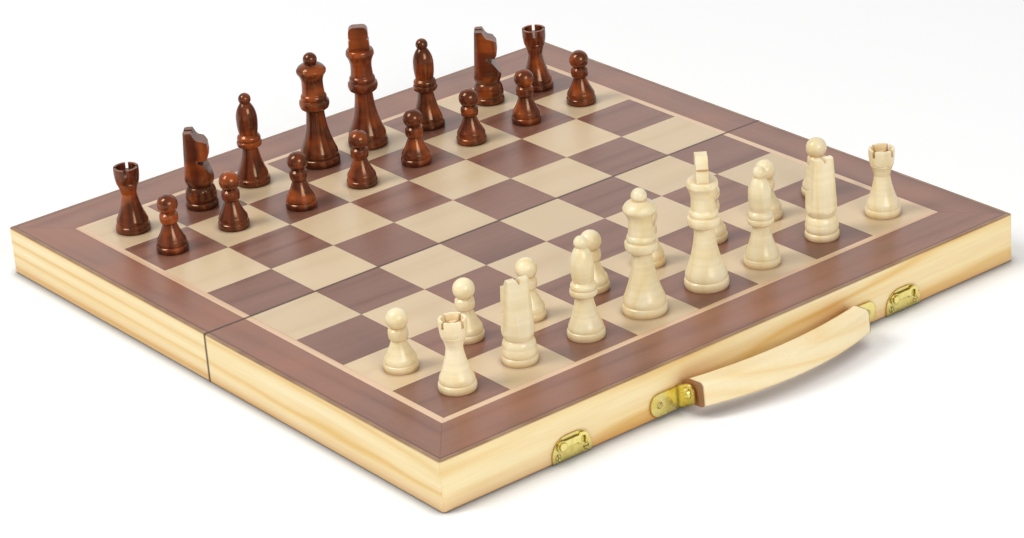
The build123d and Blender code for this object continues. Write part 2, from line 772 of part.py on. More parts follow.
# ---- Writing the trays --------------------------------------------------------------------------
for side, half in ((FRONT, "front"), (REAR, "rear")):
    save(outer_rail(side), f"{half}_outer_rail")
    save(side_rail(side, -1), f"{half}_left_rail")
    save(side_rail(side, 1), f"{half}_right_rail")
    save(hinge_rail(side), f"{half}_hinge_rail")
    save(panel(side), f"{half}_panel")
    save(border_veneer(side), f"{half}_border_veneer")
    save(light_veneer(side), f"{half}_light_veneer")
    save(dark_veneer(side), f"{half}_dark_veneer")
    save(hinge_leaves(side), f"{half}_hinge_leaves")

# ---- Writing the metalwork and the handle -------------------------------------------------------
save(hinge_pins(), "hinge_pins")
save(studded_plates(FRONT, -HOOK_PIVOT_SHIFT, HOOK_PIVOT_HEIGHT), "clasp_plates")
save(studded_plates(REAR, -HOOK_PIVOT_SHIFT, POST_HEIGHT), "catch_plates")
for name, x in zip(("left_clasp_hook", "right_clasp_hook"), CLASP_AT):
    save(clasp_hook(x), name)
save(handle_brackets(), "handle_brackets")
save(carry_handle(), "carry_handle")
save(handle_pivot_screws(), "handle_pivot_screws")
front_screw_planes = hinge_screw_planes(FRONT) + clasp_pin_planes(FRONT) + bracket_screw_planes()
save(screws(front_screw_planes), "front_screws")
save(screws(hinge_screw_planes(REAR) + clasp_pin_planes(REAR)), "rear_screws")

# ---- Writing the chessmen -----------------------------------------------------------------------
BACK_ROW = (rook, knight, bishop, queen, king, bishop, knight, rook)
FILES = "abcdefgh"
WHITE_TURNS = {rook: WHITE_ROOK_TURN, knight: WHITE_KNIGHT_TURN, king: WHITE_CROSS_TURN}
DARK_TURNS = {rook: DARK_ROOK_TURN, knight: DARK_KNIGHT_TURN, king: DARK_CROSS_TURN}
ARMIES = (
    ("white", WHITE_TURNS, 0, WHITE_BACK_ROW_OFF, 1, WHITE_PAWNS_OFF),
    ("dark", DARK_TURNS, SQUARES - 1, DARK_BACK_ROW_OFF, SQUARES - 2, DARK_PAWNS_OFF),
)
for army, turns, back_rank, back_row_off, pawn_rank, pawns_off in ARMIES:
    for file, make in enumerate(BACK_ROW):
        lone = make in (queen, king)
        name = f"{army}_{make.__name__}" if lone else f"{army}_{make.__name__}_{FILES[file]}"
        middle = (file + 0.5) * SQUARE - FIELD
        right, behind = back_row_off[file]
        x = middle + right
        y = (back_rank + 0.5) * SQUARE - FIELD + behind
        save(make(x, y, turns.get(make, 0)), name)
        right, behind = pawns_off[file]
        x = middle + right
        y = (pawn_rank + 0.5) * SQUARE - FIELD + behind
        save(pawn(x, y, 0), f"{army}_pawn_{FILES[file]}")
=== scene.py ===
from math import radians

import bmesh
import bpy
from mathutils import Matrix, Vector


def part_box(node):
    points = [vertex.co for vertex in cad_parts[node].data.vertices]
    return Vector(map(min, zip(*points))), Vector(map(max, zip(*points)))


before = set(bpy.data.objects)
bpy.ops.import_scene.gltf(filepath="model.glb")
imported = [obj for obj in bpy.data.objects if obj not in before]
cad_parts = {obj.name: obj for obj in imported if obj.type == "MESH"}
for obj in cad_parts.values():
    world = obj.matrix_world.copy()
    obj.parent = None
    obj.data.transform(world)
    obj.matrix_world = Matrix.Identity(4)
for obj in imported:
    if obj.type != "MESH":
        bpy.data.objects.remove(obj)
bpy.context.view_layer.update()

# Looks of a folding wooden chess box that lies open as a board, with its men standing on it.
# Everything is in metres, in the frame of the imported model: X along the fold, Z up, rims at Z = 0.

# ---- Places, read from the frame ----------------------------------------------------------------
HALF_FILES = 4          # squares from the middle of the board to its side
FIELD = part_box("front_dark_veneer")[1].x            # middle of the board to the edge of the squares
SQUARE = FIELD / HALF_FILES
LINE_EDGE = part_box("front_light_veneer")[1].x       # to the outer edge of the pale line
BORDER_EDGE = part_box("front_border_veneer")[1].x    # to the outer edge of the border, at the sides
BORDER_END = -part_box("front_border_veneer")[0].y    # and at the ends
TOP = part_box("front_border_veneer")[1].z            # height of the playing surface
HALVES = ("front", "rear")
MEN = [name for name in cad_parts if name.startswith(("white_", "dark_"))]

# ---- Camera -------------------------------------------------------------------------------------
# Fitted to the corners of the board. Its turn is in degrees, its lens and sensor are in mm.
CAMERA_PLACE = (-0.9006, -1.2117, 0.6879)
CAMERA_TURN = (65.373, 4.007, -38.645)
CAMERA_LENS = 108.87
CAMERA_SENSOR = 36.0

# ---- Light --------------------------------------------------------------------------------------
WHITE = (1, 1, 1)
WORLD_LIGHT = (0.46, 0.46, 0.46)
ROOM = (0.44, 0.39, 0.33)       # what polished surfaces mirror all round
BRIGHT_WALL = (1.1, 1.1, 1.1)   # and what they mirror behind the board
BEHIND = (0.547, 0.726, 0.416)  # the way to that wall
BEHIND_EDGE = (0.55, 0.95)      # cosines of the angle from there at which it begins, and is full
KEY = {"place": (-1.6, 0.7, 2.1), "size": (0.9, 1.3), "power": 38.0}
FILL = {"place": (-0.3, -2.3, 1.1), "size": (1.2, 0.9), "power": 22.0}

# ---- Floor --------------------------------------------------------------------------------------
FLOOR_HALF = 4.0
FLOOR_CELLS = 8
FLOOR_DROP = 0.0002             # keeps it clear of the rims
FLOOR_LEVEL = 0.92
FLOOR_ROUGHNESS = 0.9
FLOOR_GLOSS = 0.1
GLOW_REACH = (0.6, 2.2)         # from the middle of the board to where near ends and far begins
GLOW = (0.16, 0.7)              # what the camera sees added to the floor, near and far
# Painted contact shadow on the floor, beside what stands on it
CONTACT_REACH = 0.008
CONTACT_SKY = (0.45, 0.95)      # share of open sky where the painted contact shadow is full, and ends
CONTACT_LEVEL = 0.3             # what the full painted contact shadow leaves of the floor's white

# ---- Shading ------------------------------------------------------------------------------------
HOLLOW_SAMPLES = 6
PAINTED_SHADE_SAMPLES = 8
BEVEL_SAMPLES = 4
PAINTED_SHADE_SKY = (0.3, 0.9)           # share of open sky where painted shade is deepest, and ends


class Graph:
    """Writes a node tree. Nodes are added by what they compute and linked through their sockets."""

    def __init__(self, tree):
        self.tree = tree

    def add(self, kind, inputs=None, **settings):
        """A node of that kind. A value goes on its socket, and a socket is linked to it."""
        node = self.tree.nodes.new("ShaderNode" + kind)
        for key, value in settings.items():
            setattr(node, key, value)
        for key, value in (inputs or {}).items():
            self.put(node.inputs[key], value)
        return node

    def put(self, socket, value):
        """Links the socket to another one, or sets it. A colour gets its alpha here."""
        if isinstance(value, bpy.types.NodeSocket):
            self.tree.links.new(value, socket)
        elif socket.type == "RGBA":
            socket.default_value = (*value, 1)
        else:
            socket.default_value = value

    def math(self, operation, first, second=0.0, third=0.0):
        node = self.add("Math", {0: first, 1: second, 2: third}, operation=operation)
        return node.outputs[0]

    def split(self, vector):
        return self.add("SeparateXYZ", {0: vector}).outputs

    def join(self, x, y, z):
        return self.add("CombineXYZ", {0: x, 1: y, 2: z}).outputs[0]

    def grey(self, level):
        """One number as all three parts of a colour."""
        return self.join(level, level, level)

    def shift(self, vector, offset):
        return self.add("VectorMath", {0: vector, 1: offset}, operation="ADD").outputs[0]

    def scale(self, vector, factors):
        return self.add("VectorMath", {0: vector, 1: factors}, operation="MULTIPLY").outputs[0]

    def length(self, vector):
        return self.add("VectorMath", {0: vector}, operation="LENGTH").outputs["Value"]

    def dot(self, vector, other):
        return self.add("VectorMath", {0: vector, 1: other}, operation="DOT_PRODUCT").outputs["Value"]

    def mix(self, factor, low, high, blend="MIX"):
        inputs = {0: factor, 6: low, 7: high}
        return self.add("Mix", inputs, data_type="RGBA", blend_type=blend).outputs[2]

    def choose(self, factor, low, high):
        """One vector or the other."""
        return self.add("Mix", {0: factor, 4: low, 5: high}, data_type="VECTOR").outputs[1]

    def spread(self, value, low, high, to_low=0.0, to_high=1.0):
        """Stretches low..high to to_low..to_high, and stops at both ends."""
        inputs = {0: value, 1: low, 2: high, 3: to_low, 4: to_high}
        return self.add("MapRange", inputs).outputs[0]

    def ramp(self, factor, stops):
        """The colour at that factor between stops, each a position and a colour."""
        node = self.add("ValToRGB", {0: factor})
        elements = node.color_ramp.elements
        for element, stop in zip(elements, (stops[0], stops[-1])):
            element.position = stop[0]
            element.color = (*stop[1], 1)
        for position, colour in stops[1:-1]:
            elements.new(position).color = (*colour, 1)
        return node.outputs[0]

    def shade(self, colour, level):
        """The colour made darker or lighter."""
        return self.mix(1.0, colour, self.grey(level), "MULTIPLY")

    def sway(self, colour, noise, shows, amount):
        """The colour made darker where the noise is low and lighter where it is high."""
        return self.shade(colour, self.spread(noise, *shows, 1.0 - amount, 1.0 + amount))

    def noise(self, vector, scale, detail=2.0, roughness=0.5):
        inputs = {"Vector": vector, "Scale": scale, "Detail": detail, "Roughness": roughness}
        return self.add("TexNoise", inputs).outputs[0]

    def long_noise(self, vector, stretch, detail=2.0, roughness=0.5):
        """Noise with another scale along each axis."""
        return self.noise(self.scale(vector, stretch), 1.0, detail, roughness)


class Surface(Graph):
    """Writes one material."""

    def __init__(self, name):
        self.material = bpy.data.materials.new(name)
        self.material.use_nodes = True
        super().__init__(self.material.node_tree)
        self.shader = self.tree.nodes["Principled BSDF"]
        self.point = self.add("TexCoord").outputs["Object"]

    def finish(self, **values):
        """Sets the shader's own sockets. An underscore stands for a space in a socket's name."""
        for key, value in values.items():
            self.put(self.shader.inputs[key.replace("_", " ")], value)
        return self.material

    def open_sky(self, distance, samples, inside=False):
        """How open a place is: 1, falling as surfaces within the distance close it in. From inside the
        solid, its thin places and sharp edges count as closed in."""
        settings = {"samples": samples, "inside": inside}
        return self.add("AmbientOcclusion", {"Distance": distance}, **settings).outputs["AO"]

    def hollow(self, distance, closed, clear, strength, inside=False):
        """strength where the share of open sky is down to closed, falling to 0 where it is clear."""
        sky = self.open_sky(distance, HOLLOW_SAMPLES, inside)
        return self.spread(sky, closed, clear, strength, 0.0)

    def paint_shade(self, colour, distance, deep_tone, strength):
        """Painted shade: the colour, gone to a deeper tone where a surface near by shuts off the light.
        """
        sky = self.open_sky(distance, PAINTED_SHADE_SAMPLES)
        return self.mix(self.spread(sky, *PAINTED_SHADE_SKY, strength, 0.0), colour, deep_tone)

    def relief(self, height, strength, depth, rounding):
        """Normals of that relief, on edges that are broken by a small radius."""
        soft = self.add("Bevel", {"Radius": rounding}, samples=BEVEL_SAMPLES).outputs[0]
        inputs = {"Height": height, "Strength": strength, "Distance": depth, "Normal": soft}
        return self.add("Bump", inputs).outputs[0]


def tone(red, green, blue):
    """A colour given as it looks on a screen, 0 to 255, as Blender's linear numbers."""
    return tuple(
        value / 255 / 12.92 if value <= 10 else ((value / 255 + 0.055) / 1.055) ** 2.4
        for value in (red, green, blue)
    )


# ---- Timber -------------------------------------------------------------------------------------
# Scales of the noise in every kind of wood: marks to a metre along the grain, and twice across it.
# The range after each is where in that noise the mark begins to show, and where it is full.
DRIFT = (3.0, 22.0, 22.0)
FAINT = (5.0, 60.0, 60.0)
FAINT_SHOWS = (0.35, 0.65)
FAINT_RINGS = 0.45      # how much of the rings is left where they are faintest
STREAKS = (7.0, 210.0, 210.0)
STREAK_SHOWS = (0.42, 0.78)
FIBRES = (60.0, 2400.0, 2400.0)
FIBRE_SHOWS = (0.25, 0.75)
PORES = (110.0, 3600.0, 3600.0)
PORE_SHOWS = (0.62, 0.72)
PORE_SHADE = 0.4        # how bright a pore is beside late growth
RING_STOPS = (0.0, 0.3, 0.6, 0.82, 1.0)     # where in a ring its tones lie


class Timber:
    """A kind of wood. tones run from early to late growth, gap is between its rings, wander is how much
    they drift, pith is where the middle of the tree lies, streak and fibre say how strong the long
    streaks and the fine fibres are, pores darkens the pores, and slope tilts the rings to the grain."""

    def __init__(self, tones, gap, wander, pith, streak, fibre, pores=0.0, slope=0.02):
        self.tones = tones
        self.gap = gap
        self.wander = wander
        self.pith = pith
        self.streak = streak
        self.fibre = fibre
        self.pores = pores
        self.slope = slope

    def ring(self, graph, point):
        """How far through its yearly ring a point lies, 0 to 1. The grain runs along X."""
        drift = graph.long_noise(point, DRIFT, detail=3.0, roughness=0.55)
        x, y, z = graph.split(point)
        across = graph.math("SUBTRACT", y, self.pith[0])
        leaning = graph.math("MULTIPLY_ADD", x, self.slope, across)
        wandering = graph.math("MULTIPLY_ADD", drift, self.wander, leaning)
        deep = graph.math("SUBTRACT", z, self.pith[1])
        radius = graph.length(graph.join(0.0, wandering, deep))
        return graph.math("FRACT", graph.math("DIVIDE", radius, self.gap))

    def grain(self, graph, point):
        """Colour and height of this wood at a point, whose grain runs along X."""
        early, middle, late = self.tones
        growth = (middle, early, middle, late, middle)
        colour = graph.ramp(self.ring(graph, point), list(zip(RING_STOPS, growth)))
        faint = graph.long_noise(point, FAINT)
        colour = graph.mix(graph.spread(faint, *FAINT_SHOWS, FAINT_RINGS, 1.0), middle, colour)
        streak = graph.long_noise(point, STREAKS, detail=4.0, roughness=0.6)
        colour = graph.mix(graph.spread(streak, *STREAK_SHOWS, 0.0, self.streak), colour, late)
        fibre = graph.long_noise(point, FIBRES, detail=3.0, roughness=0.6)
        colour = graph.sway(colour, fibre, FIBRE_SHOWS, self.fibre)
        if self.pores:
            pore = graph.long_noise(point, PORES, detail=1.0)
            dark = [part * PORE_SHADE for part in late]
            colour = graph.mix(graph.spread(pore, *PORE_SHOWS, 0.0, self.pores), colour, dark)
        return colour, fibre


PINE = Timber(
    (tone(253, 236, 194), tone(248, 225, 170), tone(234, 192, 114)),
    gap=0.0078, wander=0.026, pith=(0.09, -0.06), streak=0.5, fibre=0.04, slope=0.03,
)
WALNUT = Timber(
    (tone(144, 100, 82), tone(138, 93, 75), tone(118, 75, 59)),
    gap=0.019, wander=0.05, pith=(0.09, -0.03), streak=0.35, fibre=0.06, pores=0.35,
)
MAPLE = Timber(
    (tone(224, 199, 161), tone(221, 195, 156), tone(215, 187, 146)),
    gap=0.023, wander=0.06, pith=(0.08, -0.04), streak=0.2, fibre=0.025,
)
HOLLY = Timber(
    (tone(234, 200, 166), tone(230, 194, 158), tone(216, 174, 136)),
    gap=0.012, wander=0.02, pith=(0.08, -0.04), streak=0.3, fibre=0.04,
)
BIRCH = Timber(
    (tone(218, 190, 146), tone(212, 182, 136), tone(192, 158, 110)),
    gap=0.02, wander=0.06, pith=(0.05, -0.10), streak=0.4, fibre=0.06,
)
ASH = Timber(
    (tone(252, 236, 196), tone(249, 229, 182), tone(244, 213, 154)),
    gap=0.0092, wander=0.010, pith=(-0.20, -0.25), streak=0.45, fibre=0.04, slope=0.0,
)
BOXWOOD = Timber(
    (tone(253, 240, 204), tone(250, 234, 192), tone(243, 222, 172)),
    gap=0.0078, wander=0.016, pith=(0.013, 0.006), streak=0.35, fibre=0.03, slope=0.05,
)
MAHOGANY = Timber(
    (tone(120, 51, 26), tone(94, 38, 22), tone(64, 25, 16)),
    gap=0.006, wander=0.012, pith=(0.012, -0.004), streak=0.6, fibre=0.08, pores=0.3, slope=0.05,
)

# The part of the fibre noise that roughness follows. Each roughness below goes from smooth to rough,
# and each relief is its strength, its depth, and the radius that the edges are broken by.
FIBRE_RANGE = (0.2, 0.8)

PAINTED_SHADE_TONE = tone(204, 124, 34)  # painted shade on pale wood in its corners. Each painted shade below is its reach, tone and strength.


def turn_grain(graph, point, axis):
    """The point with the axis that its grain runs along moved to X."""
    if axis == "X":
        return point
    x, y, z = graph.split(point)
    return graph.join(y, x, z) if axis == "Y" else graph.join(z, x, y)


# ---- Rails --------------------------------------------------------------------------------------
# Each rail of a tray, and the axis that its grain runs along
RAILS = (("outer_rail", "X"), ("hinge_rail", "X"), ("left_rail", "Y"), ("right_rail", "Y"))
HALF_STEP = 0.9         # how far apart in the plank the two trays are cut
RAIL_STEP = 0.37        # and the rails of a tray
PLANK_WAY = (1.0, 0.13, 0.07)   # the way from one cut to the next: along the plank, and across it
LIP_TONE = tone(134, 92, 68)
LIP_EDGE = (TOP - 0.0009, TOP - 0.0002)     # heights where the stain of the lip begins, and is full
LIP_BLOTS = 60.0
LIP_BLOTS_SHOW = (0.3, 0.7)
LIP_STRENGTH = (0.8, 0.97)
# Painted shade in the corners of a rail, such as on the wall behind the grip
RAIL_PAINTED_SHADE = (0.013, PAINTED_SHADE_TONE, 0.7)
RAIL_ROUGHNESS = (0.42, 0.55)
RAIL_RELIEF = (0.2, 0.0002, 0.0003)
FOLD_TONE = tone(84, 52, 36)
FOLD_EDGE = (0.0006, 0.0013)    # how far from the fold its dirt and painted shade are full, and end
FOLD_STRENGTH = 0.85


def fold_line(graph, colour):
    """Dirt and painted shade in the joint between the two halves. It covers the whole faces that meet
    there, so the box is dark on that side when it is closed."""
    _, y, _ = graph.split(graph.point)
    dirt_and_shade = graph.spread(graph.math("ABSOLUTE", y), *FOLD_EDGE, FOLD_STRENGTH, 0.0)
    return graph.mix(dirt_and_shade, colour, FOLD_TONE)


def rail_material(name, axis, offset):
    """Varnished pine for one rail, from its own place in the plank. The lip round the veneer is stained
    dark like the border, and shade is painted into its corners, such as on the wall behind the grip."""
    graph = Surface(name)
    place = [offset * part for part in PLANK_WAY]
    colour, fibre = PINE.grain(graph, graph.shift(turn_grain(graph, graph.point, axis), place))
    _, _, z = graph.split(graph.point)
    blot = graph.noise(graph.point, LIP_BLOTS)
    strength = graph.spread(blot, *LIP_BLOTS_SHOW, *LIP_STRENGTH)
    colour = graph.mix(graph.spread(z, *LIP_EDGE, 0.0, strength), colour, LIP_TONE)
    # Painted shade in the corners, such as behind the grip
    colour = graph.paint_shade(colour, *RAIL_PAINTED_SHADE)
    return graph.finish(
        Base_Color=fold_line(graph, colour),
        Roughness=graph.spread(fibre, *FIBRE_RANGE, *RAIL_ROUGHNESS),
        Specular_IOR_Level=0.4,
        Coat_Weight=0.25,
        Coat_Roughness=0.25,
        Normal=graph.relief(fibre, *RAIL_RELIEF),
    )


# ---- Playing surface ----------------------------------------------------------------------------
# Painted shadow on the playing surface, beside the men's feet and other near surfaces
VENEER_PAINTED_SHADE = (0.004, tone(74, 44, 26), 0.8)
VENEER_ROUGHNESS = (0.34, 0.44)
VENEER_RELIEF = (0.10, 0.0001, 0.0002)
VARNISH_CLOUDS = 45.0
VARNISH_CLOUDS_SHOW = (0.3, 0.7)
VARNISH_ROUGHNESS = (0.20, 0.27)

FIGURE_TONE = tone(164, 104, 74)
FIGURE = 22.0
FIGURE_SHOWS = (0.36, 0.66)
FIGURE_STRENGTH = 0.55
MITRE_TONE = tone(108, 72, 66)
MITRE_REACH = 0.022     # in widths of the border
MITRE_STRENGTH = 0.55
EDGE_TONE = tone(92, 54, 38)
EDGE_STAIN = (0.0003, 0.0014)   # how far in from the border's outer edge the stain is full, and ends
EDGE_STRENGTH = 0.7

SQUARE_WAY = (3.0, 0.6, 0.2)    # how far apart in the plank two squares may be cut
DARK_SHADES = (0.90, 1.08)      # darkest and lightest square
LIGHT_SHADES = (0.95, 1.04)
BLOT_TONE = tone(222, 196, 163)
BLOTS = 36.0
BLOTS_SHOW = (0.35, 0.65)
BLOT_STRENGTH = 0.45

SQUARE_DRAW = 0.0       # tells the draws of chance for squares and for men apart
MAN_DRAW = 1.0


def varnish(graph, colour, fibre):
    """The satin varnish of the playing surface, a little uneven. Shadow is painted in beside the men's
    feet and wherever a surface near by shuts off the light.
    """
    cloud = graph.noise(graph.point, VARNISH_CLOUDS, detail=3.0)
    return graph.finish(
        # Painted shadow beside the men's feet, then the fold's dirt and painted shade
        Base_Color=fold_line(graph, graph.paint_shade(colour, *VENEER_PAINTED_SHADE)),
        Roughness=graph.spread(fibre, *FIBRE_RANGE, *VENEER_ROUGHNESS),
        Specular_IOR_Level=0.35,
        Coat_Weight=0.30,
        Coat_Roughness=graph.spread(cloud, *VARNISH_CLOUDS_SHOW, *VARNISH_ROUGHNESS),
        Normal=graph.relief(fibre, *VENEER_RELIEF),
    )


def by_square(graph, draw):
    """A colour and a number that chance gives to each square of the board."""
    x, y, _ = graph.split(graph.point)
    file = graph.math("FLOOR", graph.math("DIVIDE", x, SQUARE))
    rank = graph.math("FLOOR", graph.math("DIVIDE", y, SQUARE))
    inputs = {"Vector": graph.join(file, rank, draw)}
    return graph.add("TexWhiteNoise", inputs, noise_dimensions="3D").outputs


def square_point(graph):
    """Grain coordinates of the squares: each is cut from another place, with its grain along X. Also a
    number that differs from square to square."""
    chance = by_square(graph, SQUARE_DRAW)
    place = graph.scale(chance["Color"], SQUARE_WAY)
    return graph.shift(graph.point, place), chance["Value"]


def strip_point(graph, inner_side=0.0, inner_end=0.0, side_width=1.0, end_width=1.0):
    """Grain coordinates of a mitred frame: along Y on its left and right strips, along X at its end.
    Also how far a place is from the mitre, in widths of the frame."""
    x, y, z = graph.split(graph.point)
    sideways, endways = (
        graph.math("DIVIDE", graph.math("SUBTRACT", graph.math("ABSOLUTE", along), inner), width)
        for along, inner, width in ((x, inner_side, side_width), (y, inner_end, end_width))
    )
    on_side = graph.math("GREATER_THAN", sideways, endways)
    point = graph.choose(on_side, graph.point, graph.join(y, x, z))
    return point, graph.math("SUBTRACT", sideways, endways)


def border_material():
    """Walnut strips round the board. Their mitres show, and their outer edge is stained darker."""
    graph = Surface("border_walnut")
    point, from_mitre = strip_point(
        graph, LINE_EDGE, LINE_EDGE, BORDER_EDGE - LINE_EDGE, BORDER_END - LINE_EDGE
    )
    colour, fibre = WALNUT.grain(graph, point)
    figure = graph.noise(graph.point, FIGURE)
    strength = graph.spread(figure, *FIGURE_SHOWS, 0.0, FIGURE_STRENGTH)
    colour = graph.mix(strength, colour, FIGURE_TONE)
    mitre = graph.spread(graph.math("ABSOLUTE", from_mitre), 0.0, MITRE_REACH, 1.0, 0.0)
    colour = graph.mix(graph.math("MULTIPLY", mitre, MITRE_STRENGTH), colour, MITRE_TONE)
    x, y, _ = graph.split(graph.point)
    from_side = graph.math("SUBTRACT", BORDER_EDGE, graph.math("ABSOLUTE", x))
    from_end = graph.math("SUBTRACT", BORDER_END, graph.math("ABSOLUTE", y))
    from_edge = graph.math("MINIMUM", from_side, from_end)
    stain = graph.spread(from_edge, *EDGE_STAIN, EDGE_STRENGTH, 0.0)
    return varnish(graph, graph.mix(stain, colour, EDGE_TONE), fibre)


def dark_square_material():
    """Walnut squares, each of its own shade."""
    graph = Surface("square_walnut")
    point, chance = square_point(graph)
    colour, fibre = WALNUT.grain(graph, point)
    colour = graph.shade(colour, graph.spread(chance, 0.0, 1.0, *DARK_SHADES))
    return varnish(graph, colour, fibre)


def light_square_material():
    """Maple squares, each of its own shade, and the pinkish pale line of holly round them."""
    graph = Surface("square_maple")
    point, chance = square_point(graph)
    colour, fibre = MAPLE.grain(graph, point)
    blot = graph.noise(graph.point, BLOTS, detail=1.0)
    colour = graph.mix(graph.spread(blot, *BLOTS_SHOW, 0.0, BLOT_STRENGTH), colour, BLOT_TONE)
    colour = graph.shade(colour, graph.spread(chance, 0.0, 1.0, *LIGHT_SHADES))
    strip, _ = strip_point(graph)
    line_colour, _ = HOLLY.grain(graph, strip)
    x, y, _ = graph.split(graph.point)
    outermost = graph.math("MAXIMUM", graph.math("ABSOLUTE", x), graph.math("ABSOLUTE", y))
    in_line = graph.math("GREATER_THAN", outermost, FIELD)
    return varnish(graph, graph.mix(in_line, colour, line_colour), fibre)


# ---- Panels -------------------------------------------------------------------------------------
PLYWOOD_ROUGHNESS = (0.6, 0.75)
PLYWOOD_RELIEF = (0.3, 0.0002, 0.0002)


def panel_material():
    """Bare birch plywood under the veneer."""
    graph = Surface("birch_plywood")
    colour, fibre = BIRCH.grain(graph, graph.point)
    return graph.finish(
        Base_Color=colour,
        Roughness=graph.spread(fibre, *FIBRE_RANGE, *PLYWOOD_ROUGHNESS),
        Normal=graph.relief(fibre, *PLYWOOD_RELIEF),
    )


# ---- Handle -------------------------------------------------------------------------------------
GRIP_SLANT = 0.16       # rise of the growth rings along the grip
# The grip's ends: darker end grain, and painted shade where the brackets shut off the light
END_GRAIN_AND_SHADE_TONE = tone(118, 54, 4)
END_GRAIN_AND_SHADE_DEPTH = (0.0002, 0.0010)  # how far in from an end the dark end grain and painted shade are full, and end
END_GRAIN_AND_SHADE_STRENGTH = 0.85
# Painted shade in the grip's corners
GRIP_PAINTED_SHADE = (0.01, PAINTED_SHADE_TONE, 0.6)
GRIP_ROUGHNESS = (0.40, 0.52)
GRIP_RELIEF = (0.2, 0.0002, 0.0006)


def handle_material():
    """Clear varnished handle wood. Its ends are dark, as end grain is, with shade painted in where the
    brackets shut off the light. Shade is also painted into its corners.
    """
    graph = Surface("handle_wood")
    x, y, z = graph.split(graph.point)
    rising = graph.math("MULTIPLY_ADD", x, GRIP_SLANT, z)
    colour, fibre = ASH.grain(graph, graph.join(x, y, rising))
    low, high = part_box("carry_handle")
    from_left = graph.math("SUBTRACT", x, low.x)
    from_right = graph.math("SUBTRACT", high.x, x)
    from_end = graph.math("MINIMUM", from_left, from_right)
    # Dark end grain, with painted shade, at both ends
    end_grain_and_shade = graph.spread(from_end, *END_GRAIN_AND_SHADE_DEPTH, END_GRAIN_AND_SHADE_STRENGTH, 0.0)
    colour = graph.mix(end_grain_and_shade, colour, END_GRAIN_AND_SHADE_TONE)
    return graph.finish(
        # Painted shade in the corners
        Base_Color=graph.paint_shade(colour, *GRIP_PAINTED_SHADE),
        Roughness=graph.spread(fibre, *FIBRE_RANGE, *GRIP_ROUGHNESS),
        Specular_IOR_Level=0.35,
        Coat_Weight=0.15,
        Coat_Roughness=0.2,
        Normal=graph.relief(fibre, *GRIP_RELIEF),
    )


# ---- Men ----------------------------------------------------------------------------------------
# hollow is how strongly shade is painted into the hollows, rim how strongly the edges are lightened,
# painted_groove_shade how strongly bands of painted shade and highlight stand in for turned grooves,
# shades are the darkest and lightest man, patch how strongly its tone shows in the wood, gloss the
# varnish's.
PALE_LOOK = {
    "hollow": 0.65, "hollow_shade_tone": tone(186, 130, 58), "rim": 0.2, "rim_tone": tone(250, 236, 196),
    "roughness": (0.21, 0.29), "gloss": 0.6, "gloss_tone": (1.0, 0.95, 0.82), "painted_groove_shade": 0.03,
    "shades": (0.88, 1.08), "patch": 0.3, "patch_tone": tone(240, 212, 148),
}
DARK_LOOK = {
    "hollow": 0.85, "hollow_shade_tone": tone(38, 13, 8), "rim": 0.3, "rim_tone": tone(150, 72, 36),
    "roughness": (0.15, 0.23), "gloss": 1.0, "gloss_tone": (1.0, 0.62, 0.38), "painted_groove_shade": 0.09,
    "shades": (0.66, 1.22), "patch": 0.6, "patch_tone": tone(174, 80, 26),
}
MAN_HOLLOW_SHADE = (0.006, 0.35, 0.95)    # painted shade in the hollows: its reach, and the open sky where it is full, and ends
MAN_RIM = (0.0015, 0.25, 0.85)
PATCHES = 75.0
PATCHES_SHOW = (0.50, 0.66)
GROOVE_SHADE_BANDS = 420.0         # bands of painted groove shade to a metre of height
GROOVE_SHADE_SHOWS = (0.38, 0.62)
LATHE = 1400.0          # tool marks to a metre of height
LATHE_SHARE = 0.75      # share of the relief that they make; the rest is fibres
MAN_RELIEF = (0.10, 0.0002, 0.0003)


def turned_material(name, timber, look):
    """Turned and varnished wood, with shade painted into the hollows and painted bands of shade and
    highlight standing in for turned grooves. The sharp edges are lighter.
    """
    graph = Surface(name)
    colour, fibre = timber.grain(graph, turn_grain(graph, graph.point, "Z"))
    _, _, z = graph.split(graph.point)
    chance = by_square(graph, MAN_DRAW)["Value"]
    colour = graph.shade(colour, graph.spread(chance, 0.0, 1.0, *look["shades"]))
    patch = graph.noise(graph.point, PATCHES, detail=1.0)
    strength = graph.spread(patch, *PATCHES_SHOW, 0.0, look["patch"])
    colour = graph.mix(strength, colour, look["patch_tone"])
    # Painted shade and highlight in bands up the man, standing in for turned grooves
    groove_shade = graph.noise(graph.join(chance, 0.0, z), GROOVE_SHADE_BANDS, detail=1.0)
    colour = graph.sway(colour, groove_shade, GROOVE_SHADE_SHOWS, look["painted_groove_shade"])
    # Painted shade in the hollows
    hollow = graph.hollow(*MAN_HOLLOW_SHADE, look["hollow"])
    colour = graph.mix(hollow, colour, look["hollow_shade_tone"])
    rim = graph.hollow(*MAN_RIM, look["rim"], inside=True)
    colour = graph.mix(rim, colour, look["rim_tone"])
    lathe = graph.noise(graph.join(0.0, 0.0, z), LATHE)
    marks = graph.math("MULTIPLY", lathe, LATHE_SHARE)
    height = graph.math("MULTIPLY_ADD", fibre, 1.0 - LATHE_SHARE, marks)
    return graph.finish(
        Base_Color=colour,
        Roughness=graph.spread(fibre, *FIBRE_RANGE, *look["roughness"]),
        Specular_IOR_Level=look["gloss"],
        Specular_Tint=look["gloss_tone"],
        Normal=graph.relief(height, *MAN_RELIEF),
    )


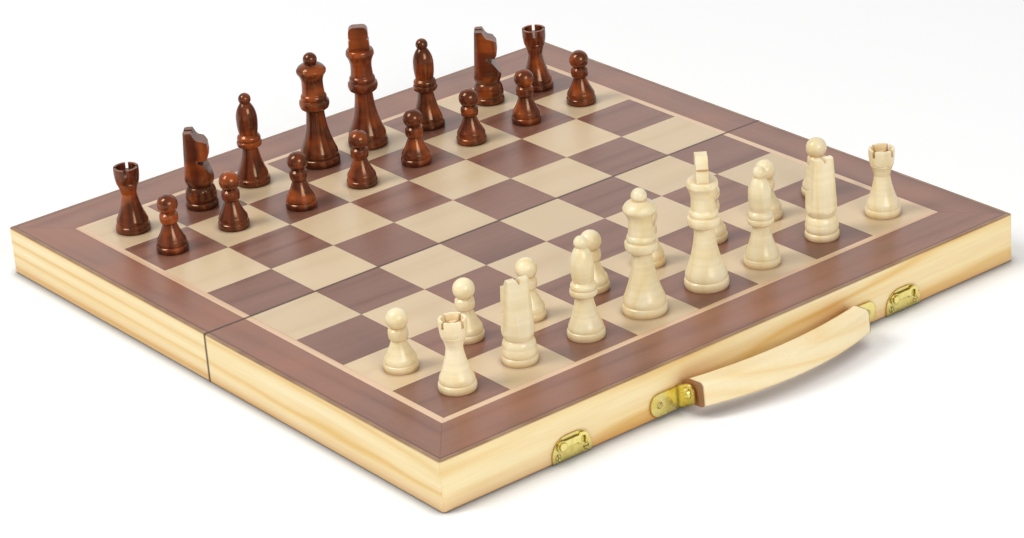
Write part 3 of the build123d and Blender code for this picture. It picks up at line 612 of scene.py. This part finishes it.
# ---- Brass --------------------------------------------------------------------------------------
BRASS_STOPS = ((0.3, tone(240, 222, 124)), (0.5, tone(253, 240, 158)), (0.75, tone(234, 212, 110)))
BRASS_CLOUDS = 130.0
BRASS_CLOUDS_SHOW = (0.3, 0.8)
BRASS_ROUGHNESS = (0.24, 0.36)
BRASS_SCRATCHES = (260.0, 260.0, 3200.0)
BRASS_RELIEF = (0.08, 0.0001, 0.0003)
LACQUER_TONE = tone(112, 84, 26)
LACQUER = (0.003, 0.3, 0.9, 0.75)   # reach, open sky where it is full, and ends, and strength
WORN_TONE = tone(150, 122, 48)
WORN = (0.0006, 0.3, 0.8, 0.55)


def brass_material():
    """Lacquered brass sheet. The lacquer has yellowed in the corners and is worn off the edges."""
    graph = Surface("brass")
    cloud = graph.noise(graph.point, BRASS_CLOUDS, detail=3.0, roughness=0.6)
    scratch = graph.long_noise(graph.point, BRASS_SCRATCHES)
    colour = graph.ramp(cloud, BRASS_STOPS)
    colour = graph.mix(graph.hollow(*LACQUER), colour, LACQUER_TONE)
    colour = graph.mix(graph.hollow(*WORN, inside=True), colour, WORN_TONE)
    return graph.finish(
        Base_Color=colour,
        Metallic=1.0,
        Roughness=graph.spread(cloud, *BRASS_CLOUDS_SHOW, *BRASS_ROUGHNESS),
        Coat_Weight=0.3,
        Coat_Roughness=0.15,
        Normal=graph.relief(scratch, *BRASS_RELIEF),
    )


# ---- What gets which finish ---------------------------------------------------------------------
def dress(node, material):
    """Gives a CAD node its finish."""
    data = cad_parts[node].data
    data.materials.clear()
    data.materials.append(material)


def dress_board():
    """The rails, panels and veneers of both halves."""
    border = border_material()
    dark = dark_square_material()
    light = light_square_material()
    panel = panel_material()
    for half_number, half in enumerate(HALVES):
        for rail_number, (rail, axis) in enumerate(RAILS):
            offset = HALF_STEP * half_number + RAIL_STEP * rail_number
            dress(f"{half}_{rail}", rail_material(f"pine_{half}_{rail}", axis, offset))
        dress(f"{half}_border_veneer", border)
        dress(f"{half}_dark_veneer", dark)
        dress(f"{half}_light_veneer", light)
        dress(f"{half}_panel", panel)


def dress_metal():
    """Hinges, clasps, brackets and screws."""
    brass = brass_material()
    for node in (
        "front_hinge_leaves", "rear_hinge_leaves", "hinge_pins", "clasp_plates", "catch_plates",
        "left_clasp_hook", "right_clasp_hook", "handle_brackets", "handle_pivot_screws",
        "front_screws", "rear_screws",
    ):
        dress(node, brass)


def dress_handle():
    """The grip."""
    dress("carry_handle", handle_material())


def dress_men():
    """The two armies."""
    pale = turned_material("boxwood", BOXWOOD, PALE_LOOK)
    dark = turned_material("mahogany", MAHOGANY, DARK_LOOK)
    for man in MEN:
        dress(man, pale if man.startswith("white") else dark)


# ---- Surroundings -------------------------------------------------------------------------------
def floor_material():
    """White that keeps the shadow. The camera sees it brighter far off, where it meets the white of
    the surroundings, and a painted contact shadow makes it darker right beside what stands on it."""
    graph = Surface("pale_floor")
    # Painted contact shadow, in the floor's colour and in its glow
    sky = graph.open_sky(CONTACT_REACH, PAINTED_SHADE_SAMPLES)
    painted_contact_shadow = graph.spread(sky, *CONTACT_SKY, CONTACT_LEVEL, 1.0)
    seen = graph.add("LightPath").outputs["Is Camera Ray"]
    far = graph.spread(graph.length(graph.point), *GLOW_REACH, *GLOW)
    return graph.finish(
        Base_Color=graph.grey(graph.math("MULTIPLY", painted_contact_shadow, FLOOR_LEVEL)),
        Roughness=FLOOR_ROUGHNESS,
        Specular_IOR_Level=FLOOR_GLOSS,
        Emission_Color=WHITE,
        Emission_Strength=graph.math("MULTIPLY", graph.math("MULTIPLY", seen, far), painted_contact_shadow),
    )


def pale_floor():
    """A flat sheet under the rims."""
    mesh = bpy.data.meshes.new("floor")
    sheet = bmesh.new()
    bmesh.ops.create_grid(sheet, x_segments=FLOOR_CELLS, y_segments=FLOOR_CELLS, size=FLOOR_HALF)
    sheet.to_mesh(mesh)
    sheet.free()
    mesh.materials.append(floor_material())
    floor = bpy.data.objects.new("floor", mesh)
    bpy.context.scene.collection.objects.link(floor)
    floor.location = (0, 0, -FLOOR_DROP)


def surroundings():
    """White to the camera, a room with one bright wall to polished surfaces, and an even light to
    everything else."""
    world = bpy.data.worlds.new("studio")
    bpy.context.scene.world = world
    world.use_nodes = True
    graph = Graph(world.node_tree)
    path = graph.add("LightPath").outputs
    way = graph.add("TexCoord").outputs["Generated"]
    wall = graph.spread(graph.dot(way, BEHIND), *BEHIND_EDGE)
    mirrored = graph.mix(wall, ROOM, BRIGHT_WALL)
    light = graph.mix(path["Is Glossy Ray"], WORLD_LIGHT, mirrored)
    colour = graph.mix(path["Is Camera Ray"], light, WHITE)
    graph.put(graph.tree.nodes["Background"].inputs["Color"], colour)


def soft_box(name, place, size, power):
    """A lamp with a large flat face, turned to the middle of the board."""
    lamp = bpy.data.lights.new(name, "AREA")
    lamp.shape = "RECTANGLE"
    lamp.size, lamp.size_y = size
    lamp.energy = power
    light = bpy.data.objects.new(name, lamp)
    bpy.context.scene.collection.objects.link(light)
    light.location = place
    light.rotation_euler = (-Vector(place)).to_track_quat("-Z", "Y").to_euler()


def camera():
    """The camera, at the angle the box is shown from."""
    data = bpy.data.cameras.new("camera")
    data.lens = CAMERA_LENS
    data.sensor_width = CAMERA_SENSOR
    eye = bpy.data.objects.new("camera", data)
    bpy.context.scene.collection.objects.link(eye)
    eye.location = CAMERA_PLACE
    eye.rotation_euler = [radians(angle) for angle in CAMERA_TURN]
    bpy.context.scene.camera = eye


dress_board()
dress_metal()
dress_handle()
dress_men()
pale_floor()
surroundings()
soft_box("key", **KEY)
soft_box("fill", **FILL)
camera()
bpy.context.scene.view_settings.view_transform = "Standard"
